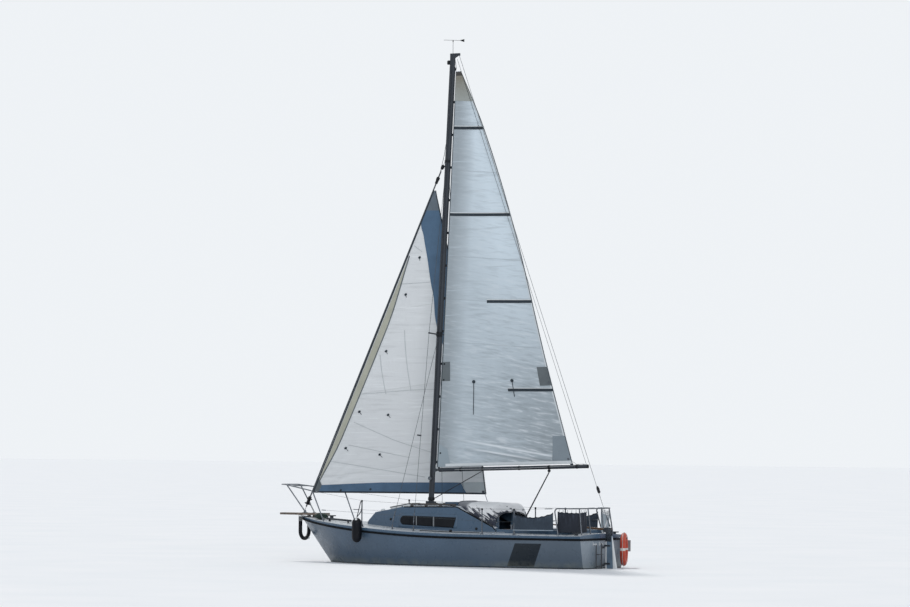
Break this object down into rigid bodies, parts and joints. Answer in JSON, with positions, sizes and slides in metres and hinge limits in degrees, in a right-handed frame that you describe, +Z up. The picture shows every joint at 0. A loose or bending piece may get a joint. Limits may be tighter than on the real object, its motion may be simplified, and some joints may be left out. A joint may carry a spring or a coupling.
{
  "type": "small cabin sailing boat",
  "caption": "Small cabin sailing boat with fin keel, stern rudder, mast, boom, mainsail and headsail set",
  "frame": {"origin": "on the waterline and the centreline, amidships", "axes": "+X to the bow, +Y to port, +Z up"},
  "size_m": [7.7861, 2.4209, 11.638],
  "materials": {
    "anodised": "dark anodised",
    "black_plastic": "black plastic",
    "black_rubber": "black moulding",
    "blue_canvas": "dark blue canvas",
    "bottom_paint": "dark antifouling, matt",
    "dark_canvas": "dark grey mesh canvas",
    "dark_pane": "dark brown tinted acrylic",
    "deck_grp": "white gelcoat, satin, with non-slip panels",
    "fender_rubber": "navy blue vinyl",
    "foil_alloy": "plain anodised",
    "genoa_cloth": "white sailcloth with a blue sun strip",
    "grey_plastic": "light grey plastic",
    "hood_canvas": "grey blue canvas",
    "light_canvas": "light grey canvas",
    "main_cloth": "white sailcloth, slightly grey",
    "orange_plastic": "orange with light bands",
    "rudder_paint": "blue grey paint with white edges",
    "smoked_plastic": "smoked acrylic",
    "steel": "polished stainless steel",
    "teak": "oiled teak, weathered",
    "tiller_wood": "varnished ash and mahogany",
    "white_grp": "white gelcoat, glossy, worn by the water",
    "white_plastic": "white plastic"
  },
  "bodies": {
    "boat": {"hull": "white_grp", "deck": "deck_grp", "coachroof": "deck_grp", "windows": "dark_pane", "cockpit": "deck_grp", "coaming": "deck_grp", "rub_rail": "black_rubber", "hatch_garage": "deck_grp", "washboard": "teak", "fore_hatch_frame": "white_plastic", "keel": "bottom_paint", "rudder_gudgeons": "steel", "ladder_brackets": "steel", "mast": "anodised", "mast_step": "anodised", "spreaders": "anodised", "chainplates": "steel", "shrouds": "steel", "masthead_crane": "anodised", "backstay": "steel", "backstay_plate": "steel", "gooseneck": "steel", "mast_track": "anodised", "forestay": "foil_alloy", "furler_drum": "black_plastic", "furler_swivel": "black_plastic", "genoa": "genoa_cloth", "bow_platform": "teak", "stem_fitting": "steel", "pulpit": "steel", "bow_fender": "fender_rubber", "pushpit": "steel", "stanchions": "steel", "weather_cloths": "blue_canvas", "stern_cloth_port": "dark_canvas", "stern_cloth_starboard": "light_canvas", "fender": "fender_rubber", "lifebuoy": "orange_plastic", "lifebuoy_bracket": "steel", "lifebuoy_light": "grey_plastic", "sprayhood": "hood_canvas", "winches": "steel", "cleats": "anodised", "genoa_tracks": "anodised", "grab_rails": "teak", "traveller": "anodised", "mast_winch": "steel"},
    "boom_and_sail": {"boom": "anodised", "luff_slides": "black_plastic", "mainsail": "main_cloth"},
    "rudder": {"rudder_blade": "rudder_paint", "rudder_pintles": "steel", "rudder_head": "steel", "tiller": "tiller_wood"},
    "companion_slider": {"companion_hatch": "deck_grp"},
    "fore_lid": {"fore_hatch_lid": "smoked_plastic"},
    "port_lid": {"locker_lid_port": "teak"},
    "starboard_lid": {"locker_lid_starboard": "teak"},
    "ladder": {"boarding_ladder": "steel"},
    "vane": {"wind_vane": "black_plastic"}
  },
  "joints": [
    {"name": "boom_swing", "type": "hinge", "parent": "boat", "child": "boom_and_sail", "pos_m": [0.32889, 0, 1.88617], "axis": [-0.0471, 0, 0.9989], "range_deg": [-62, 38]},
    {"name": "rudder_turn", "type": "hinge", "parent": "boat", "child": "rudder", "pos_m": [-3.495, 0, 0.25], "axis": [0, 0, 1], "range_deg": [-35, 35]},
    {"name": "companion_slide", "type": "slide", "parent": "boat", "child": "companion_slider", "axis": [1, 0, 0], "range_m": [0, 0.45]},
    {"name": "fore_hatch_hinge", "type": "hinge", "parent": "boat", "child": "fore_lid", "pos_m": [1.28682, 0, 1.12573], "axis": [0, 1, 0], "range_deg": [0, 110]},
    {"name": "port_lid_hinge", "type": "hinge", "parent": "boat", "child": "port_lid", "pos_m": [-2.315, 0.588, 0.4623], "axis": [-1, 0, 0], "range_deg": [0, 90]},
    {"name": "starboard_lid_hinge", "type": "hinge", "parent": "boat", "child": "starboard_lid", "pos_m": [-2.315, -0.588, 0.4623], "axis": [1, 0, 0], "range_deg": [0, 90]},
    {"name": "ladder_hinge", "type": "hinge", "parent": "boat", "child": "ladder", "pos_m": [-3.512, 0.27, 0.48], "axis": [0, 1, 0], "range_deg": [0, 165]},
    {"name": "vane_spin", "type": "hinge", "parent": "boat", "child": "vane", "pos_m": [0.0168, 0, 10.5], "axis": [0, 0, 1], "continuous": true}
  ]
}
